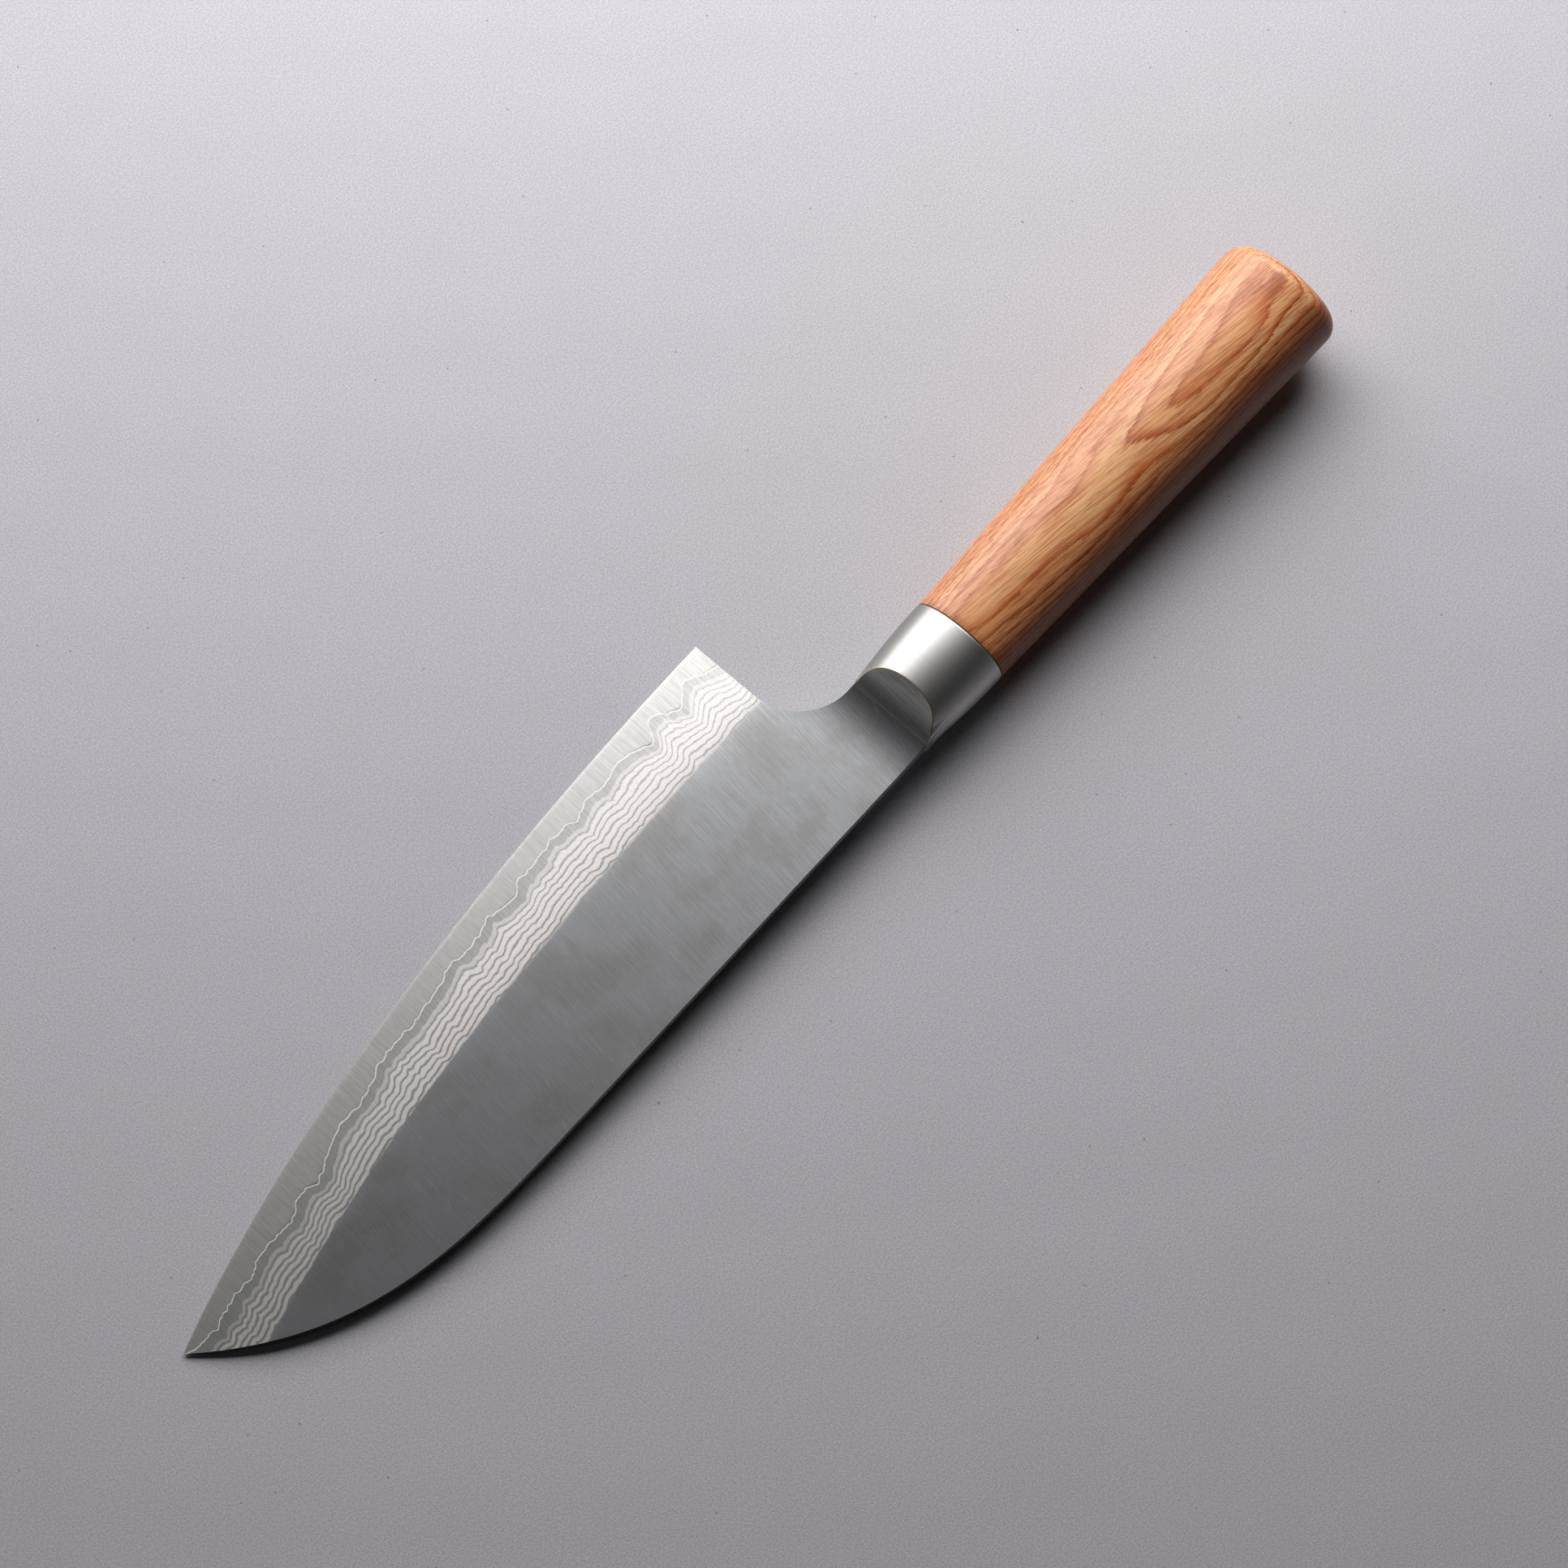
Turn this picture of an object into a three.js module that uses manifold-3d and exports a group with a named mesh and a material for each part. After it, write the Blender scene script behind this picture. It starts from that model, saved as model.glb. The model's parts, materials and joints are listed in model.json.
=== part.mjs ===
// Chef knife of the santoku pattern: a clad steel blade, a scooped bolster and an oval laminated
// wood handle with a hidden tang, lying on its left side on a table.
// Millimetres. In the knife's own frame X runs from the bolster's rear face towards the tip,
// Y towards the spine and Z out of the right face. The axis of the handle is the X axis.

import * as THREE from "three";
import { mergeVertices } from "three/addons/utils/BufferGeometryUtils.js";
import Module from "manifold-3d";

const wasm = await Module();
wasm.setup();

// Blade outline
const bladeLength = 165; // from the heel corner to the tip
const heelSetback = 33.7; // from the bolster's rear face to the heel corner
const heelLean = 0.4; // how far the heel line leans forwards up to the choil
const heelDepth = 37.2; // the edge at the heel lies this far from the axis
const bellyRise = 17.6; // the edge's even curve up to the tip
const noseRise = 4.15; // what the last of the edge rises beyond that
const spineOffset = 9.45; // the straight spine's distance from the axis
const sweepLength = 89; // the spine drops over this length down to the tip
const choilRadius = 12.9;
const neckDepth = 8.9; // the neck's underside lies this far from the axis
const tipBlunt = 0.3; // what is left off the needle point

// Blade section
const neckThickness = 2;
const tipThickness = 1.9;
const coreThickness = 0.68;
const edgeThickness = 0.12;
const heelBevelWidth = 16.4;
const tipBevelWidth = 14.2;
const weldGap = 0.05; // drawn between the core and each cladding

// Tang
const shoulderInset = 12; // the blade's shoulders stand this far in front of the joint
const stubHeight = 7;
const stubReach = 17; // the stub tang ends this far behind the joint
const barHeight = 8;
const barThickness = 4.4;
const barSetback = 1.6; // the bar starts this far behind the bolster's spigot
const barLength = 66;
const barTaper = 1.2; // the bar's height narrows by this much at its far end
const notchRadius = 1.3;
const notchPitch = 13;
const notchCount = 3;

// Bolster
const jointHalfWidth = 10.65;
const jointHalfThickness = 7.7;
const noseHalfWidth = 9.45;
const noseHalfThickness = 6.5;
const scoopRadius = 7.1;
const scoopFoot = 20.65; // the scoop runs out on the blade's face this far in front of the joint
const lipThickness = 0.15; // the bolster's front edge stands this proud of the blade's face
const spigotHalfWidth = 7.6;
const spigotHalfThickness = 5;
const spigotLength = 5;
const fitGap = 0.15; // between metal parts, and between metal or wood and the bedding

// Handle
const handleLength = 100.5;
const buttHalfWidth = 13.25;
const buttHalfThickness = 9.9;
const buttDrop = 0.6; // the butt's middle hangs this far towards the edge side
const buttRimRadius = 3.7;
const buttCrown = 1.9; // how far the end face domes out of its rim
const glueLine = 0.3; // between the bolster's rear face and the wood
const glueRecess = 0.12; // the glue line lies this far below the surface
const filmGap = 0.05; // between the glue line and the face on either side of it
const sleeveThickness = 0.5; // the bedding round the spigot
const beddingThickness = 2; // the bedding round the tang's bar
const beddingEnd = 5.4; // the bore goes on this far behind the bar

// Outline powers, shares and mesh steps
const noseRisePower = 5;
const sweepPower = 3.8;
const ovalSides = 64;
const bladeSteps = 44;
const arcSteps = 24;
const rimSteps = 8;
const bolsterSteps = 16;
const crownShares = [0.9, 0.7, 0.4, 0.12];
const highestBendShare = 0.9; // near the tip the bevel's bends stay below this share of the height
const overrun = 2; // how far a cutting tool passes the piece it cuts
const mergeDistance = 1e-4;

const tipX = heelSetback + bladeLength;
const tipY = bellyRise + noseRise - heelDepth;
const halfCore = coreThickness / 2;
const barStart = spigotLength + barSetback;
const boreHalfWidth = barHeight / 2 + beddingThickness;
const boreHalfThickness = barThickness / 2 + beddingThickness;
const boreDepth = barStart + barLength + beddingEnd;

// A geometry as a closed manifold solid, and back.
function solidOf(geometry) {
  const bare = geometry.clone();
  bare.deleteAttribute("normal");
  bare.deleteAttribute("uv");
  const merged = mergeVertices(bare, mergeDistance);
  const vertProperties = merged.attributes.position.array;
  const triVerts = new Uint32Array(merged.index.array);
  return new wasm.Manifold(new wasm.Mesh({ numProp: 3, vertProperties, triVerts }));
}

function geometryOf(solid) {
  const { numProp, numVert, vertProperties, triVerts } = solid.getMesh();
  const positions = new Float32Array(numVert * 3);
  for (let i = 0; i < numVert; i += 1) {
    positions.set(vertProperties.subarray(i * numProp, i * numProp + 3), i * 3);
  }
  const geometry = new THREE.BufferGeometry();
  geometry.setAttribute("position", new THREE.BufferAttribute(positions, 3));
  geometry.setIndex(new THREE.BufferAttribute(new Uint32Array(triVerts), 1));
  geometry.computeVertexNormals();
  return geometry;
}

// Skins rings of as many points each, given from low X to high X. Each ring runs from Y towards Z.
function loft(rings) {
  const sides = rings[0].length;
  const positions = rings.flat(2);
  const index = [];
  for (let r = 0; r + 1 < rings.length; r += 1) {
    for (let k = 0; k < sides; k += 1) {
      const a = r * sides + k;
      const b = r * sides + ((k + 1) % sides);
      index.push(a, b, b + sides, a, b + sides, a + sides);
    }
  }
  const addCap = (ring, first, outward) => {
    const centre = [0, 1, 2].map((axis) => ring.reduce((sum, p) => sum + p[axis], 0) / sides);
    const hub = positions.length / 3;
    positions.push(...centre);
    for (let k = 0; k < sides; k += 1) {
      const a = first + k;
      const b = first + ((k + 1) % sides);
      index.push(hub, ...(outward > 0 ? [a, b] : [b, a]));
    }
  };
  addCap(rings[0], 0, -1);
  addCap(rings.at(-1), (rings.length - 1) * sides, 1);
  const geometry = new THREE.BufferGeometry();
  geometry.setAttribute("position", new THREE.Float32BufferAttribute(positions, 3));
  geometry.setIndex(index);
  return geometry;
}

function ovalRing(x, halfWidth, halfThickness, middleY = 0) {
  return Array.from({ length: ovalSides }, (_, k) => {
    const angle = (2 * Math.PI * k) / ovalSides;
    return [x, middleY + halfWidth * Math.cos(angle), halfThickness * Math.sin(angle)];
  });
}

// A straight oval bar from one X to a higher one.
function ovalBar(fromX, toX, halfWidth, halfThickness) {
  return solidOf(loft([fromX, toX].map((x) => ovalRing(x, halfWidth, halfThickness))));
}

// A box given by its low and high corners.
function block(low, high) {
  const [x, y, z] = high.map((value, axis) => value - low[axis]);
  const geometry = new THREE.BoxGeometry(x, y, z);
  geometry.translate(...low.map((value, axis) => (value + high[axis]) / 2));
  return solidOf(geometry);
}

// A flat outline in X and Y, made into a plate that spans the given heights.
function plate(shape, lowZ, highZ) {
  const settings = { depth: highZ - lowZ, bevelEnabled: false, curveSegments: arcSteps };
  const geometry = new THREE.ExtrudeGeometry(shape, settings);
  geometry.translate(0, 0, lowZ);
  return solidOf(geometry);
}

// The bolster narrows towards the blade by the square of the way to its nose.
const lipRun = Math.sqrt(scoopRadius ** 2 - (scoopRadius - lipThickness) ** 2);
const bolsterLength = scoopFoot - lipRun;

function bolsterHalf(x, atJoint, atNose) {
  return atJoint + (atNose - atJoint) * (x / bolsterLength) ** 2;
}

// How far the blade's neck may reach to either side inside the bolster.
function neckReach(x) {
  return bolsterHalf(x, jointHalfWidth, noseHalfWidth) - fitGap;
}

// Blade: the share of the way from the heel to the tip, and what follows from it.
const bladeShare = (x) => Math.max(0, (x - heelSetback) / bladeLength);

function edgeY(x) {
  const share = bladeShare(x);
  return bellyRise * share ** 2 + noseRise * share ** noseRisePower - heelDepth;
}

// The spine is straight, widens with the bolster that holds its neck, and sweeps down to the tip.
function spineY(x) {
  if (x < bolsterLength) return Math.max(spineOffset, neckReach(x));
  const share = Math.max(0, (x - tipX + sweepLength) / sweepLength);
  return spineOffset - (spineOffset - tipY) * share ** sweepPower;
}

function bevelWidth(x) {
  return heelBevelWidth + (tipBevelWidth - heelBevelWidth) * bladeShare(x);
}

// Half the blade's thickness on its flats, tapering from the shoulders to the tip.
function flatHalf(x) {
  const share = Math.max(0, (x - shoulderInset) / (tipX - shoulderInset));
  return (neckThickness + (tipThickness - neckThickness) * share) / 2;
}

// Half the thickness at a height over the edge, on the bevel or on the flat above it.
function bladeHalf(x, rise) {
  const share = Math.min(1, rise / bevelWidth(x));
  return edgeThickness / 2 + (flatHalf(x) - edgeThickness / 2) * share;
}

// How far over the edge the bevel reaches a given half thickness.
function riseAt(x, half) {
  return (bevelWidth(x) * (half - edgeThickness / 2)) / (flatHalf(x) - edgeThickness / 2);
}

// Stations crowd towards the tip, where the outline curves most.
function bladeStations() {
  const stations = [-stubReach, shoulderInset, (shoulderInset + bolsterLength) / 2];
  stations.push(bolsterLength, heelSetback);
  for (let i = 1; i <= bladeSteps; i += 1) {
    const share = Math.sin((Math.PI / 2) * (i / bladeSteps));
    stations.push(heelSetback + (bladeLength - tipBlunt) * share);
  }
  return stations;
}

// The plan that all three plates of the blade share behind the heel: heel line, choil, neck,
// shoulders and stub tang.
function blankOutline() {
  const startX = heelSetback + heelLean;
  const centreX = startX - choilRadius;
  const centreY = -neckDepth - choilRadius;
  const halfStub = stubHeight / 2;
  const farX = tipX + overrun;
  const lowY = -heelDepth - overrun;
  const highY = spineOffset + overrun;
  const shape = new THREE.Shape();
  shape.moveTo(-stubReach, -halfStub);
  shape.lineTo(shoulderInset, -halfStub);
  const neckAngle = Math.PI - Math.asin((-neckReach(bolsterLength) - centreY) / choilRadius);
  shape.lineTo(shoulderInset, -neckReach(shoulderInset));
  shape.absarc(centreX, centreY, choilRadius, neckAngle, 0, true);
  shape.lineTo(heelSetback, -heelDepth);
  shape.lineTo(heelSetback, lowY);
  shape.lineTo(farX, lowY);
  shape.lineTo(farX, highY);
  shape.lineTo(shoulderInset, highY);
  shape.lineTo(shoulderInset, halfStub);
  shape.lineTo(-stubReach, halfStub);
  return shape;
}

const blank = plate(blankOutline(), -neckThickness, neckThickness);

// The hard steel plate in the middle of the blade, which comes out at the edge.
function makeCore() {
  const rings = bladeStations().map((x) => {
    const top = spineY(x);
    const bottom = edgeY(x);
    const bend = Math.min(riseAt(x, halfCore), (top - bottom) * highestBendShare);
    const bendHalf = Math.min(halfCore, bladeHalf(x, bend));
    const topHalf = Math.min(halfCore, bladeHalf(x, top - bottom));
    return [
      [x, top, -topHalf],
      [x, top, topHalf],
      [x, bottom + bend, bendHalf],
      [x, bottom, edgeThickness / 2],
      [x, bottom, -edgeThickness / 2],
      [x, bottom + bend, -bendHalf],
    ];
  });
  return geometryOf(solidOf(loft(rings)).intersect(blank));
}

// One of the two outer plates: side is 1 on the right face and -1 on the left. It thins out on
// the bevel, and ends at the tip where the bevel is too thin to hold it.
function makeCladding(side) {
  const inner = halfCore + weldGap;
  const thinnest = weldGap;
  const rings = [];
  for (const x of bladeStations()) {
    const height = spineY(x) - edgeY(x);
    const low = riseAt(x, inner + thinnest);
    if (height < low + thinnest) break;
    const bend = Math.min(bevelWidth(x), low + (height - low) * highestBendShare);
    const rows = [
      [height, inner],
      [height, bladeHalf(x, height)],
      [bend, bladeHalf(x, bend)],
      [low, inner + thinnest],
      [low, inner],
    ];
    const ring = rows.map(([rise, half]) => [x, edgeY(x) + rise, side * half]);
    rings.push(side > 0 ? ring : ring.reverse());
  }
  return geometryOf(solidOf(loft(rings)).intersect(blank));
}

function bolsterRing(x) {
  const halfThickness = bolsterHalf(x, jointHalfThickness, noseHalfThickness);
  return ovalRing(x, bolsterHalf(x, jointHalfWidth, noseHalfWidth), halfThickness);
}

// The tool that scoops the bolster down to the blade's face, a round trough across it.
function scoopTool(side) {
  const faceZ = neckThickness / 2;
  const shape = new THREE.Shape();
  shape.moveTo(scoopFoot, faceZ);
  shape.absarc(scoopFoot, faceZ + scoopRadius, scoopRadius, -Math.PI / 2, Math.PI, true);
  shape.lineTo(scoopFoot - scoopRadius, faceZ + scoopRadius + overrun);
  shape.lineTo(scoopFoot + overrun, faceZ + scoopRadius + overrun);
  shape.lineTo(scoopFoot + overrun, faceZ);
  const width = 2 * (jointHalfWidth + overrun);
  const settings = { depth: width, bevelEnabled: false, curveSegments: arcSteps };
  const geometry = new THREE.ExtrudeGeometry(shape, settings);
  geometry.translate(0, 0, -width / 2);
  geometry.rotateX(side * (Math.PI / 2));
  return solidOf(geometry);
}

function makeBolster() {
  const shares = Array.from({ length: bolsterSteps + 1 }, (_, i) => i / bolsterSteps);
  const slotHalf = neckThickness / 2 + fitGap;
  const stubHalf = stubHeight / 2 + fitGap;
  const shoulderX = shoulderInset - fitGap;
  const across = jointHalfWidth + overrun;
  const startX = heelSetback + heelLean;
  const wheel = new THREE.Shape();
  wheel.absarc(startX - choilRadius, -neckDepth - choilRadius, choilRadius, 0, 2 * Math.PI, false);
  const body = solidOf(loft(shares.map((share) => bolsterRing(bolsterLength * share))))
    .add(ovalBar(-spigotLength, fitGap, spigotHalfWidth, spigotHalfThickness))
    .subtract(scoopTool(1))
    .subtract(scoopTool(-1))
    .subtract(plate(wheel, -jointHalfThickness, jointHalfThickness))
    .subtract(block([shoulderX, -across, -slotHalf], [scoopFoot + overrun, across, slotHalf]))
    .subtract(
      block([-spigotLength - overrun, -stubHalf, -slotHalf], [scoopFoot, stubHalf, slotHalf]),
    );
  return geometryOf(body);
}

// The flat bar that carries the stub tang on into the handle: a fork at its front is welded
// over the stub, and round notches in its long edges key it into the bedding.
function makeTangBar() {
  const farX = -barStart - barLength;
  const halfHeight = barHeight / 2;
  const endHalf = halfHeight - barTaper / 2;
  const shape = new THREE.Shape();
  shape.moveTo(-barStart, -halfHeight);
  shape.lineTo(-barStart, halfHeight);
  shape.lineTo(farX, endHalf);
  shape.lineTo(farX, -endHalf);
  let bar = plate(shape, -barThickness / 2, barThickness / 2);
  const slotHalf = neckThickness / 2 + fitGap;
  const slotEnd = -stubReach - fitGap;
  bar = bar.subtract(
    block([slotEnd, -barHeight, -slotHalf], [overrun, barHeight, slotHalf]),
  );
  for (let i = 1; i <= notchCount; i += 1) {
    for (const side of [-1, 1]) {
      const notch = new THREE.Shape();
      notch.absarc(slotEnd - notchPitch * i, side * halfHeight, notchRadius, 0, 2 * Math.PI, false);
      bar = bar.subtract(plate(notch, -barThickness, barThickness));
    }
  }
  return geometryOf(bar);
}

// Handle: an oval that flares evenly towards the butt and closes in a rounded rim and a low crown.
function handleRings() {
  const rimStart = handleLength - buttCrown - buttRimRadius;
  const rings = [];
  const push = (back, inset) => {
    const flare = (Math.min(back, rimStart) - glueLine) / (rimStart - glueLine);
    const halfWidth = jointHalfWidth + (buttHalfWidth - jointHalfWidth) * flare - inset;
    const halfThickness = jointHalfThickness + (buttHalfThickness - jointHalfThickness) * flare;
    rings.unshift(ovalRing(-back, halfWidth, halfThickness - inset, -buttDrop * flare));
  };
  push(glueLine, 0);
  push(rimStart, 0);
  for (let i = 1; i <= rimSteps; i += 1) {
    const angle = (Math.PI / 2) * (i / rimSteps);
    push(rimStart + buttRimRadius * Math.sin(angle), buttRimRadius * (1 - Math.cos(angle)));
  }
  const faceHalfWidth = buttHalfWidth - buttRimRadius;
  const faceHalfThickness = buttHalfThickness - buttRimRadius;
  for (const share of crownShares) {
    const back = rimStart + buttRimRadius + buttCrown * (1 - share ** 2);
    rings.unshift(ovalRing(-back, faceHalfWidth * share, faceHalfThickness * share, -buttDrop));
  }
  return rings;
}

function makeHandle() {
  const wallHalfWidth = spigotHalfWidth + sleeveThickness + 2 * fitGap;
  const wallHalfThickness = spigotHalfThickness + sleeveThickness + 2 * fitGap;
  const body = solidOf(loft(handleRings()))
    .subtract(ovalBar(-boreDepth, overrun, boreHalfWidth, boreHalfThickness))
    .subtract(ovalBar(-spigotLength - glueLine - fitGap, overrun, wallHalfWidth, wallHalfThickness));
  return geometryOf(body);
}

// The resin that beds the tang: a film in the joint, a sleeve round the spigot and the filling of
// the bore, hollowed by the tang itself.
function makeBedding() {
  const filmWidth = jointHalfWidth - glueRecess;
  const filmThickness = jointHalfThickness - glueRecess;
  const sleeveEnd = -spigotLength - glueLine;
  const pocketEnd = -barStart - barLength - fitGap;
  const barHalf = barHeight / 2 + fitGap;
  const slabHalf = barThickness / 2 + fitGap;
  const body = ovalBar(filmGap - glueLine, -filmGap, filmWidth, filmThickness)
    .add(
      ovalBar(
        sleeveEnd,
        -filmGap,
        spigotHalfWidth + sleeveThickness + fitGap,
        spigotHalfThickness + sleeveThickness + fitGap,
      ),
    )
    .add(ovalBar(fitGap - boreDepth, -filmGap, boreHalfWidth - fitGap, boreHalfThickness - fitGap))
    .subtract(
      ovalBar(
        -spigotLength - fitGap,
        overrun,
        spigotHalfWidth + fitGap,
        spigotHalfThickness + fitGap,
      ),
    )
    .subtract(block([pocketEnd, -barHalf, -slabHalf], [overrun, barHalf, slabHalf]));
  return geometryOf(body);
}

// A finish for each sub-part.
function finish(color, roughness, metalness) {
  return new THREE.MeshStandardMaterial({ color, roughness, metalness });
}

const knife = new THREE.Group();

function addPart(name, geometry, material) {
  const mesh = new THREE.Mesh(geometry, material);
  mesh.name = name;
  knife.add(mesh);
}

addPart("blade_core", makeCore(), finish(0x9c9a98, 0.32, 1));
addPart("cladding_right", makeCladding(1), finish(0x8f8e8d, 0.36, 1));
addPart("cladding_left", makeCladding(-1), finish(0x8f8e8d, 0.36, 1));
addPart("bolster", makeBolster(), finish(0xc9c6c3, 0.25, 1));
addPart("tang_bar", makeTangBar(), finish(0x8a8987, 0.5, 1));
addPart("handle_block", makeHandle(), finish(0xcd8a58, 0.45, 0));
addPart("resin_bedding", makeBedding(), finish(0x3a2f2a, 0.6, 0));

// The knife lies on the swell of its bolster and on the blade near the tip. Of the lines that
// touch it from below, this finds the one under both, and its slope.
function restPitch() {
  const rear = handleRings().map((ring) => {
    return { x: ring[0][0], half: Math.max(...ring.map((point) => point[2])) };
  });
  const front = bladeStations()
    .filter((x) => x > heelSetback)
    .map((x) => ({ x, half: bladeHalf(x, spineY(x) - edgeY(x)) }));
  const slopes = front.map((near) => {
    return Math.max(...rear.map((far) => (far.half - near.half) / (near.x - far.x)));
  });
  return Math.atan(Math.min(...slopes));
}

knife.rotation.y = restPitch();

// The origin is on the table, under the middle of the knife's box.
const reach = new THREE.Box3().setFromObject(knife, true);
const middle = reach.getCenter(new THREE.Vector3());
knife.position.set(-middle.x, -middle.y, -reach.min.z);

const part = new THREE.Group();
part.add(knife);

export default part;
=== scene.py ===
import json
import math

import bpy
import numpy as np
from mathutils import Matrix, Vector, noise

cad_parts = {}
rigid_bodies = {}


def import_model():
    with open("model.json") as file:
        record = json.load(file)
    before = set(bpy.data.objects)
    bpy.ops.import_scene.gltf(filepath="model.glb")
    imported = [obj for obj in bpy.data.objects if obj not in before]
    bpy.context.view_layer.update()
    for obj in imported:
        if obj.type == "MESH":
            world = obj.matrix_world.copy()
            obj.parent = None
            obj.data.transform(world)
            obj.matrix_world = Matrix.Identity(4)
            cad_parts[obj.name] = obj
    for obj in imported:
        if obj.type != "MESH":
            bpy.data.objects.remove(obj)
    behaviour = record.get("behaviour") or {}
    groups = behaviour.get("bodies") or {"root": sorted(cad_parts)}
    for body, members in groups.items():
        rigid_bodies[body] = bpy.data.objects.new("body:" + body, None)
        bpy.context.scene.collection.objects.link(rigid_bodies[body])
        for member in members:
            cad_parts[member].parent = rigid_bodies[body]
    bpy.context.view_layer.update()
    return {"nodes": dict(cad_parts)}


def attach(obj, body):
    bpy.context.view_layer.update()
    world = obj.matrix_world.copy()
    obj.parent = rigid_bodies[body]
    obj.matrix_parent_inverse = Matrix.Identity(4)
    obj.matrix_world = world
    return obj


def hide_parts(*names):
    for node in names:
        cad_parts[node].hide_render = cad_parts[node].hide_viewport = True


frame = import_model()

# Looks of the santoku chef knife: finely meshed blade plates, bolster and handle around the packed
# frame, with procedural steel and laminated wood, on pale paper under one large soft lamp.

# The knife's own frame, in millimetres: X from the joint towards the tip, Y towards the spine, Z out
# of the right face. It lies pitched on the table, with its joint at this point of the row frame.
MM = 0.001
PLAN_SCALE = 0.01  # of the UV map that gives the brushing its direction
FIT = 0.999992  # a hair smaller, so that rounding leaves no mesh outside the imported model's box
PITCH = math.radians(2.0755)
JOINT = Vector((-48.9196, 12.275, 7.7955))

# Camera and lamps
PHOTO_WIDTH_PX = 1932
FOCAL_PX = 7070
SENSOR_MM = 36
CAMERA_AZIMUTH = 131.46
CAMERA_ELEVATION = 68
CAMERA_DISTANCE = 1.09
CLIP_START = 0.05
CAMERA_TARGET = Vector((-0.00726, 0.00457, 0))
LAMP_TURN = 5  # degrees that the lamp stands to the left of the picture's top
LAMP_ELEVATION = 38
LAMP_DISTANCE = 0.56
LAMP_WIDTH = 0.78
LAMP_HEIGHT = 0.46
LAMP_POWER = 6.3
WORLD_LEVEL = 0.014
WORLD_TINT = (1, 1, 1.04, 1)
LAMP_TINT = (1, 0.992, 0.99)
HORIZON_LEVEL = 0.18  # the pale walls round the table, which only reflections show
HORIZON_TOP = 0.55  # sine of the elevation where they end
HORIZON_FULL = 0.2  # and of the one below which they have their full level
FLOOR_REACH = 3.0

# Colours that two finishes share
BRIGHT_LINE = (0.6, 0.565, 0.51)
FOOT_SHADE = (0.42, 0.42, 0.425)

# Blade
TIP_X = 198.7
HEEL_X = 33.7
HEEL_LEAN = 0.4
HEEL_Y = -37.2
BELLY_RISE = 17.6
NOSE_RISE = 4.15
NOSE_POWER = 5
SPINE_Y = 9.45
SWEEP = 89
SWEEP_POWER = 3.8
TIP_BLUNT = 0.3
CHOIL_RADIUS = 12.9
NECK_DEPTH = 8.9
NECK_HALF = 1.0
NECK_INSET = 0.02  # how deep the neck's sides lie in the bolster
TIP_HALF = 0.95
CORE_HALF = 0.34
EDGE_HALF = 0.06
HEEL_BEVEL = 16.4
TIP_BEVEL = 14.2
SHOULDER_X = 12
STUB_HALF = 3.5
STUB_X = -17
MICRO_BEVEL = 0.14
HEEL_BEND = 3.4  # how softly the bevel turns into the flat, at the heel and at the tip
TIP_BEND = 0.7
FEATHER = 0.012  # what is left of the cladding at the core's line
CORE_DIP = 1.5  # rise over the line in which the core dips to its own thickness
LAYER_LEVEL = 4.7  # mean rise of the core's line, which the layers are counted from
LAYER_CALM = 11  # rise over the line in which the layers' waves die down
LAYER_PITCH = 1.33
FIRST_LAYER = 1.75
LINE_CEILING = 0.8  # share of the blade's height that the core's line stays under
NECK_SHARE = 0.955  # of the bolster's width, which the neck fills inside it
EDGE_LAND = 0.045  # half thickness at the edge itself
LAND_LIFT = 0.04  # what the tiny bevel's top leaves off the half thickness over it
BEND_POWER = 0.7  # how the bend tightens on the way from the heel to the tip
CHOIL_X = HEEL_X + HEEL_LEAN - CHOIL_RADIUS
CHOIL_Y = -NECK_DEPTH - CHOIL_RADIUS
NECK_SWELL = 0.9  # how much each side thickens from the next value back to the scoop's foot
NECK_SWELL_X = 33
SWELL_POWER = 3
SWELL_OVERRUN = 1.12  # share of the way to the scoop's foot up to which the neck goes on swelling

# Blade mesh
EDGE_ROWS = 10  # rows of faces between the edge and the core's line
STEEP_ROWS = 17
ARC_ROWS = 25
NECK_ROWS = 13
BLADE_COLUMNS = 440
NECK_COLUMNS = 13
STUB_COLUMNS = 12
TIP_CROWDING = 0.35  # how much the columns crowd towards the tip
CALM_SHARE = 0.6  # of the blade's height, which the rows' calm level stays under at the tip
WAVE_REACH = 1.35  # the rows share the line's waves up to this share of the height above it,
WAVE_HEIGHT = 30  # less the blade's height over this,
WAVE_LEAST = 0.35  # and never below this share
FOOT_LEAD = 0.25  # columns that hold the scoop's foot, in front of it and just inside it
FOOT_LAP = 0.03
TINY = 1e-6
BLADE_SHARP = 12  # degrees between faces from which a crease shows
BODY_SHARP = 40

# Bolster
JOINT_HALF_WIDTH = 10.65
JOINT_HALF_THICKNESS = 7.7
NOSE_HALF_WIDTH = 9.45
NOSE_HALF_THICKNESS = 6.5
BOLSTER_LENGTH = 19.2
SCOOP_RADIUS = 7.1
SCOOP_FOOT = 20.65
RIM_SOFTNESS = 0.14
RIM_WIDTH = 0.26
FOOT_LIFT = 0.006  # the scoop lies this far over the blade's face, and dips under it at its foot
FOOT_DIP = 0.03
FOOT_DIP_RUN = 0.2
SCOOP_BORDER = 0.12
SCOOP_FADE = 0.2  # how much of the scoop's finish is left at its foot, and the way to all of it
SCOOP_FADE_RUN = 5.5
BACK_EASE = 0.02  # the tiny rounds at the bolster's back and nose
BACK_ROUND = 0.06
NOSE_EASE = 0.01
FILLET_X = 12  # the fillet that draws the bolster's side out to the spine's corners
FILLET_RUN = 5
FILLET_TOP = 1.3
FILLET_HEIGHT = 1.2
BOLSTER_SIDES = 320
BARREL_RINGS = 24
SCOOP_RINGS = 84
SPIGOT_HALF_WIDTH = 7.6
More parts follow.
